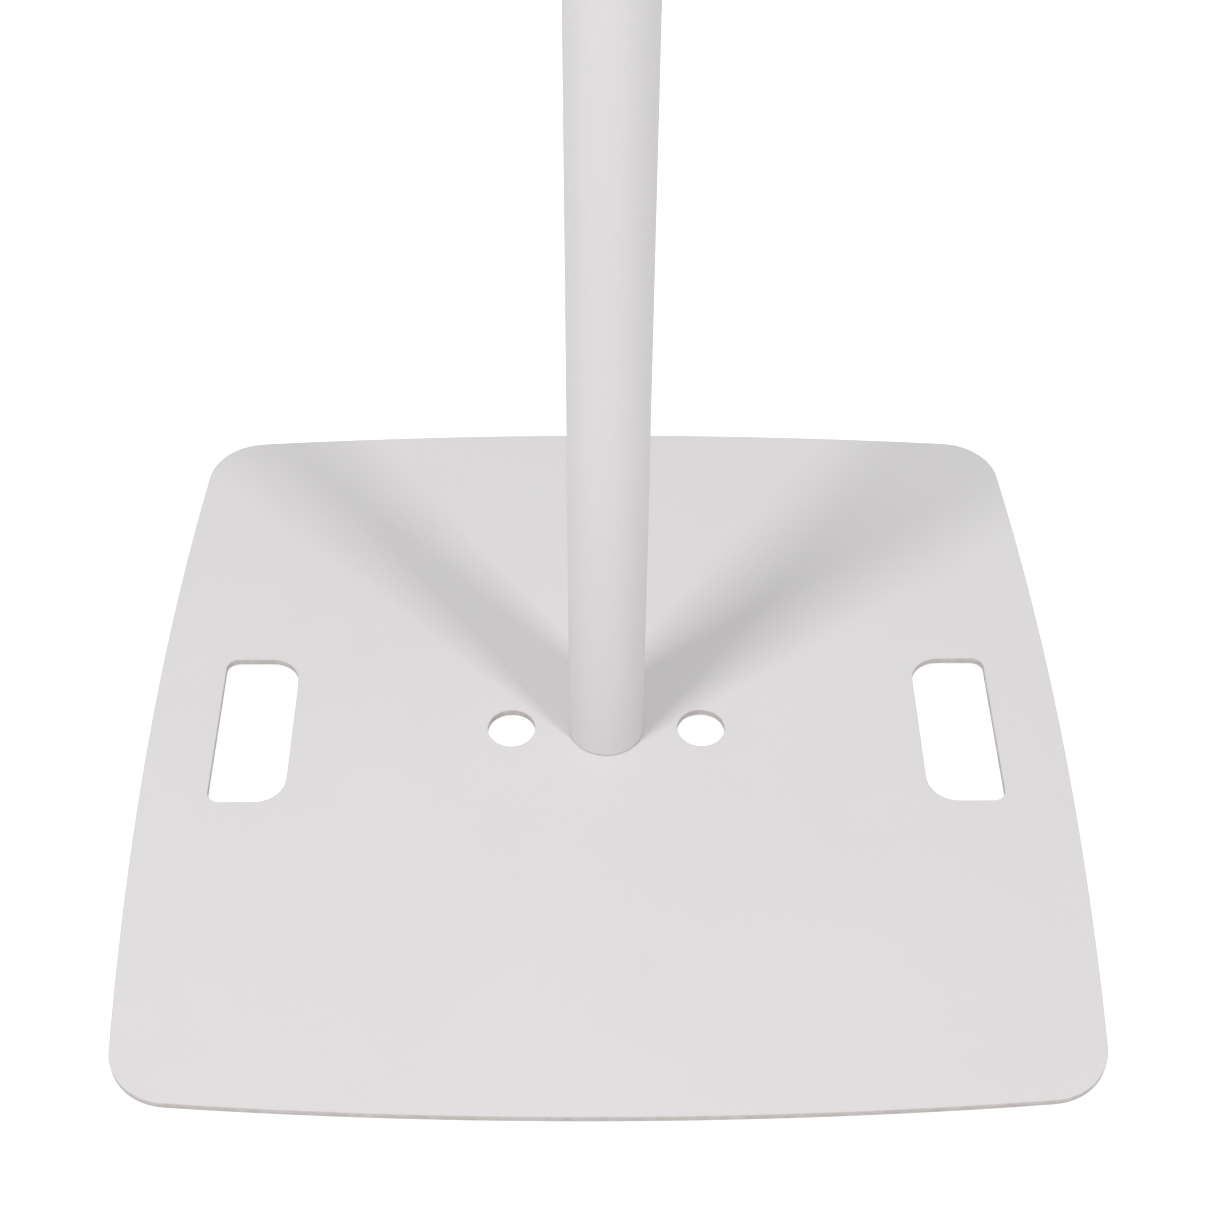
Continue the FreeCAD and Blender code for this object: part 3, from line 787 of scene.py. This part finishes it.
class POST_STAND_OT_weld(bpy.types.Operator):
    """Make the weld bead between the plug and the tube, with its ripples"""
    bl_idname = "post_stand.weld"
    bl_label = "Weld Bead"
    bl_options = {"REGISTER", "UNDO"}

    def execute(self, context):
        sizes = context.scene.post_stand_sizes
        bore, low = WELD_HIGH[0], WELD_LOW[2]
        leg = WELD_HIGH[2] - low
        corners = [(bore - leg, low), (bore, low), (bore, low + leg)]
        section = divided(rounded_outline(corners, 0.1 * MM), longest=0.2 * MM)
        lead, least, face_depth, steps_each = 0.8, 0.45, 0.3 * MM, 8

        def ripples(angle, radius, height):
            """The lower face sags in crescents: a ramp that repeats round the ring and runs
            ahead in the bead's middle, over a belly that is deepest there."""
            across = np.clip((radius - bore + leg) / leg, 0, 1)
            belly = np.sin(math.pi * across)
            scale = (angle * sizes.ripple_count / (2 * math.pi) + lead * belly) % 1
            sag = sizes.ripple_height * belly * (least + (1 - least) * scale)
            return radius, height - sag * (height < low + face_depth)

        shell = Shell()
        shell.turn(section, sizes.ripple_count * steps_each, shift=ripples, closed=True)
        bead = finish("weld_bead", dress_weld, Metallic=0.9)
        settle(shell.make("weld_bead", bead), "stand", "bare_steel", "plug_weld")
        return {"FINISHED"}


class POST_STAND_OT_screws(bpy.types.Operator):
    """Make the countersunk screws with hexagon sockets and cut threads"""
    bl_idname = "post_stand.screws"
    bl_label = "Foot Screws"
    bl_options = {"REGISTER", "UNDO"}

    def execute(self, context):
        sizes = context.scene.post_stand_sizes
        low, high = SCREW_LOW[2], SCREW_HIGH[2]
        head, shank = sizes.head_diameter / 2, sizes.screw_diameter / 2
        neck, tip = low + head - shank, high - sizes.thread_depth
        corners = [(head - 1 * MM, low), (head, low), (shank, neck),
                   (shank, tip), (shank - sizes.thread_depth, high), (1 * MM, high)]
        rounded = rounded_outline(corners, 0.15 * MM, closed=False)
        section = divided(rounded, longest=sizes.thread_pitch / 8, closed=False)
        slope, crest, plain = 1.15, 0.1, 0.5 * MM

        def thread(angle, radius, height):
            """A right-hand thread: a groove whose depth is a triangle wave of height over pitch
            less the angle's share of a turn, cut flat at crest and root, and that runs out over
            a turn above the plain neck."""
            phase = (height / sizes.thread_pitch - angle / (2 * math.pi)) % 1
            groove = np.clip(slope * (1 - np.abs(2 * phase - 1)) - crest, 0, 1)
            run_out = np.clip((height - neck - plain) / sizes.thread_pitch, 0, 1)
            upright = radius > shank - sizes.thread_depth * 0.9
            return radius - sizes.thread_depth * groove * run_out * upright, height

        hexagon = circle((0, 0), sizes.socket_width / 2 / math.cos(math.pi / 6), count=6)[0]
        steps, drill_tip = 4, 0.7 * MM
        lip = edge_profile(low, high, 0.25 * MM, steps)[:steps + 1]
        floor = low + sizes.socket_depth
        socket_wall = np.concatenate([lip, [[0, floor, 1, 0]]])
        shell = Shell()
        for axis in screw_axes(sizes):
            body = shell.turn(section, count=40, shift=thread, centre=axis)
            shell.close(body[-1], high, 1)
            socket = divided(rounded_outline(hexagon + axis, 0.2 * MM, steps=3), longest=1 * MM)
            wall = shell.carry(socket, socket_wall, opening=True)
            shell.close(wall[-1], floor + drill_tip, -1)
            shell.fill([body[0], wall[0]], low, -1, spacing=1.2 * MM)
        zinc = finish("zinc_plating", dress_zinc, Metallic=1.0)
        settle(shell.make("foot_screws", zinc), "stand", "zinc_steel", "post_screws")
        return {"FINISHED"}


class POST_STAND_OT_end_cap(bpy.types.Operator):
    """Make the cap that closes the post: a crowned rim over a hollow skirt with fins"""
    bl_idname = "post_stand.end_cap"
    bl_label = "End Cap"
    bl_options = {"REGISTER", "UNDO"}

    def execute(self, context):
        sizes = context.scene.post_stand_sizes
        rim, seat, top, foot = CAP_HIGH[0], TUBE_HIGH[2], CAP_HIGH[2], CAP_LOW[2]
        fin_tip = rim - sizes.tube_wall - sizes.cap_gap
        skirt = fin_tip - sizes.fin_reach
        bore = skirt - sizes.skirt_wall
        middle, small = 2 * MM, 0.2 * MM
        corners = [(middle, seat), (bore, seat), (bore, foot), (skirt, foot)]
        radii = [0, 1 * MM, small, small]
        pitch = (seat - foot) / sizes.fin_count
        for i in range(sizes.fin_count):
            base = foot + i * pitch + sizes.fin_thick
            corners += [(skirt, base), (fin_tip, base + sizes.fin_thick / 2),
                        (fin_tip, base + sizes.fin_thick), (skirt, base + sizes.fin_thick)]
            radii += [small, small, small / 2, small]
        corners += [(skirt, seat), (rim, seat), (rim, top), (middle, top)]
        radii += [small, small, sizes.cap_round, 0]
        rounded = rounded_outline(corners, radii, closed=False)
        section = divided(rounded, longest=1.5 * MM, closed=False)

        def crown(angle, radius, height):
            """The top swells: it drops with the square of the distance from the middle."""
            drop = sizes.cap_crown * (radius / rim) ** 2
            return radius, height - drop * np.clip((height - seat) / (top - seat), 0, 1)

        edge_mark = (section[0][:, 1:] > seat + SLIGHT) * 1.0
        shell = Shell()
        wall = shell.turn(section, count=160, shift=crown, edge_mark=edge_mark)
        shell.close(wall[0], seat, -1)
        shell.close(wall[-1], top, 1, edge_mark=1.0)
        plastic = finish("moulded_plastic", dress_plastic, IOR=1.49)
        settle(shell.make("end_cap", plastic), "cap", "white_plastic", "post_cap")
        return {"FINISHED"}


class POST_STAND_OT_floor_pads(bpy.types.Operator):
    """Make the rubber pads, with a chamfered rim and rings moulded in the underside"""
    bl_idname = "post_stand.floor_pads"
    bl_label = "Floor Pads"
    bl_options = {"REGISTER", "UNDO"}

    def execute(self, context):
        sizes = context.scene.post_stand_sizes
        depth, width = sizes.groove_depth, 1 * MM
        rubber = finish("grained_rubber", dress_rubber, IOR=1.5, Specular_IOR_Level=0.35)
        for node in PAD_NODES:
            low, high = BOX[node]
            radius, height = (high[0] - low[0]) / 2, high[2]
            corners = [(1 * MM, 0)]
            for groove in radius * np.array([0.25, 0.48, 0.71]):
                corners += [(groove, 0), (groove, depth),
                            (groove + width, depth), (groove + width, 0)]
            corners += [(radius - sizes.pad_chamfer, 0), (radius, sizes.pad_chamfer),
                        (radius, height), (radius / 2, height)]
            section = rounded_outline(corners, 0.15 * MM, steps=3, closed=False)
            rubbed = (section[0][:, 1:] < sizes.pad_chamfer * 1.5) * 1.0
            shell = Shell()
            middle = (low[:2] + high[:2]) / 2
            wall = shell.turn(section, count=72, centre=middle, edge_mark=rubbed)
            shell.close(wall[0], 0, -1, edge_mark=1.0)
            shell.close(wall[-1], height, 1)
            piece = shell.make(node.replace("floor_pad", "pad"), rubber)
            settle(piece, "stand", "pad_rubber", node)
        return {"FINISHED"}


# ---- the stage

def soft_box(name, power, azimuth, elevation, spread, distance):
    """A square soft box that looks at the post's foot, as wide as the spread seen from there."""
    light = bpy.data.lights.new(name, "AREA")
    light.energy = power
    light.shape = "SQUARE"
    flat = distance * math.cos(elevation)
    light.size = 2 * flat * math.tan(spread / 2)
    lamp = bpy.data.objects.new(name, light)
    place = Vector((flat * math.cos(azimuth), flat * math.sin(azimuth),
                    distance * math.sin(elevation)))
    lamp.location = place
    lamp.rotation_euler = place.to_track_quat("Z", "Y").to_euler()
    bpy.context.collection.objects.link(lamp)


class POST_STAND_OT_stage(bpy.types.Operator):
    """Make the pale floor, two soft boxes, the room's even light and the camera"""
    bl_idname = "post_stand.stage"
    bl_label = "Studio"
    bl_options = {"REGISTER", "UNDO"}

    def execute(self, context):
        scene = context.scene
        studio = scene.post_stand_studio
        shell = Shell()
        radius, level = 30, -0.05 * MM
        section = rounded_outline([(radius, level), (radius / 100, level)], 0, closed=False)
        disc = shell.turn(divided(section, longest=radius / 12, closed=False), count=96)
        shell.close(disc[-1], level, 1)
        pale = finish("pale_floor", dress_floor, Specular_IOR_Level=0.1, Emission_Strength=0.6)
        shell.make("studio_floor", pale)
        for name, power, azimuth, elevation, spread in (
                ("soft_box_left", studio.left_power, -134, 58, 19),
                ("soft_box_right", studio.right_power, -50, 58, 11)):
            soft_box(name, power, *np.radians((azimuth, elevation, spread)).tolist(),
                     studio.light_distance)
        world = bpy.data.worlds.new("even_room")
        world.use_nodes = True
        tree = Tree(world.node_tree)
        seen = tree.add("ShaderNodeLightPath").outputs["Is Camera Ray"]
        room, backdrop = [(level, level, level, 1) for level in (studio.room_light, studio.backdrop)]
        tree.feed(world.node_tree.nodes["Background"].inputs["Color"],
                  tree.mix(seen, room, backdrop))
        scene.world = world
        scene.view_settings.view_transform = "Standard"
        camera = bpy.data.objects.new("camera", bpy.data.cameras.new("camera"))
        camera.data.sensor_width = 36
        camera.data.lens = studio.lens
        camera.data.clip_end = 100
        aim = Euler((0, 0, -studio.look_right)).to_matrix()
        tilt = Euler((math.pi / 2 - studio.look_down, 0, 0)).to_matrix()
        roll = Euler((0, 0, studio.roll)).to_matrix()
        camera.matrix_world = Matrix.Translation(studio.camera_at) @ (aim @ tilt @ roll).to_4x4()
        context.collection.objects.link(camera)
        scene.camera = camera
        return {"FINISHED"}


# ---- panel and start

PIECES = (POST_STAND_OT_floor_plate, POST_STAND_OT_post, POST_STAND_OT_foot_plug,
          POST_STAND_OT_weld, POST_STAND_OT_screws, POST_STAND_OT_end_cap,
          POST_STAND_OT_floor_pads, POST_STAND_OT_stage)
SETTINGS = {"post_stand_sizes": PostStandSizes, "post_stand_finishes": PostStandFinishes,
            "post_stand_studio": PostStandStudio}


class POST_STAND_PT_panel(bpy.types.Panel):
    """The pieces' operators, with the sizes, colours and studio that they read"""
    bl_label = "Post Stand"
    bl_idname = "POST_STAND_PT_panel"
    bl_space_type = "VIEW_3D"
    bl_region_type = "UI"
    bl_category = "Post Stand"

    def draw(self, context):
        for operator in PIECES:
            self.layout.operator(operator.bl_idname)
        for name in SETTINGS:
            box = self.layout.box()
            settings = getattr(context.scene, name)
            for field in settings.__annotations__:
                box.prop(settings, field)


def register():
    for kind in (*SETTINGS.values(), *PIECES, POST_STAND_PT_panel):
        bpy.utils.register_class(kind)
    for name, kind in SETTINGS.items():
        setattr(bpy.types.Scene, name, PointerProperty(type=kind))


def unregister():
    for name in SETTINGS:
        delattr(bpy.types.Scene, name)
    for kind in (POST_STAND_PT_panel, *reversed(PIECES), *reversed(SETTINGS.values())):
        bpy.utils.unregister_class(kind)


def main():
    """Make every piece and the stage."""
    register()
    for operator in PIECES:
        group, name = operator.bl_idname.split(".")
        getattr(getattr(bpy.ops, group), name)()


if __name__ == "__main__":
    main()
